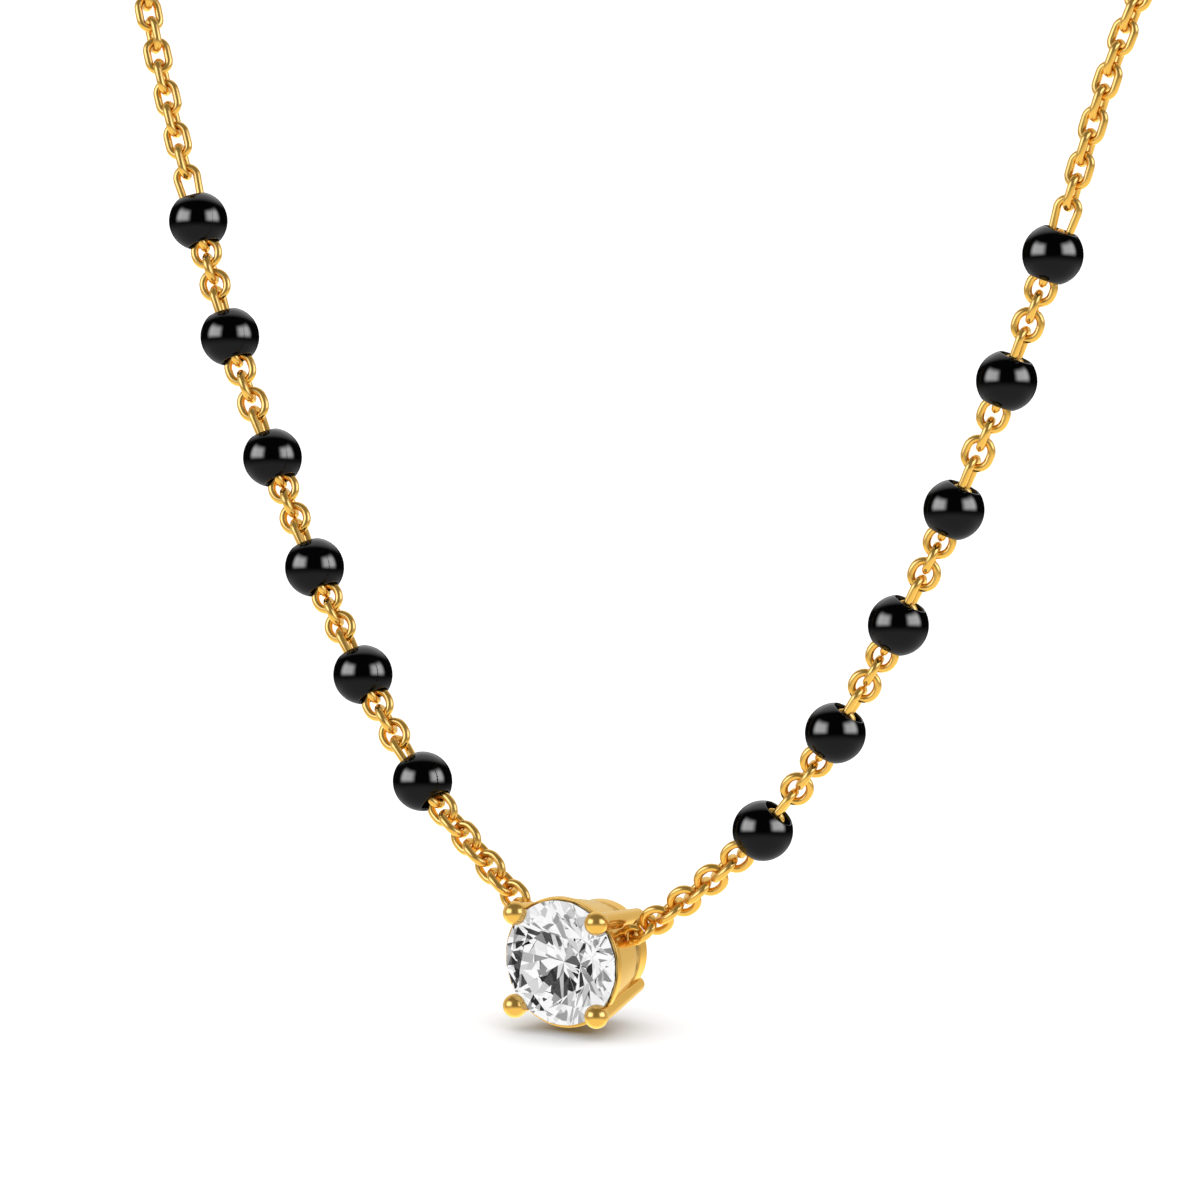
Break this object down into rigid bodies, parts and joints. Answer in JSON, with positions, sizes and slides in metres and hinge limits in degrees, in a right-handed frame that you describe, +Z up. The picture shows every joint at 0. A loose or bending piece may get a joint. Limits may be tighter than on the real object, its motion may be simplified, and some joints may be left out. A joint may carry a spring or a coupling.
{
  "type": "mangalsutra",
  "caption": "Fine gold cable chain necklace, worn as a whole loop, with glossy black beads threaded over both front runs and a round brilliant in a claw basket between them.",
  "frame": {"origin": "the spot on the nape of the neck that the clasp's barrel rests on", "axes": "+Z up as worn, -Y the way the stone faces, +X to the right of someone who looks at the stone"},
  "size_m": [0.1069, 0.1124, 0.1297],
  "materials": {
    "gold": "polished yellow gold",
    "onyx": "polished black onyx",
    "diamond": "cut and polished"
  },
  "bodies": {
    "root": {"stone": "diamond", "setting": "gold", "clasp": "gold", "chain_left_front": "gold", "chain_right_front": "gold", "chain_left_back": "gold", "chain_right_back": "gold", "bead_left_1": "onyx", "bead_left_2": "onyx", "bead_left_3": "onyx", "bead_left_4": "onyx", "bead_left_5": "onyx", "bead_left_6": "onyx", "bead_right_1": "onyx", "bead_right_2": "onyx", "bead_right_3": "onyx", "bead_right_4": "onyx", "bead_right_5": "onyx", "bead_right_6": "onyx"}
  },
  "joints": []
}
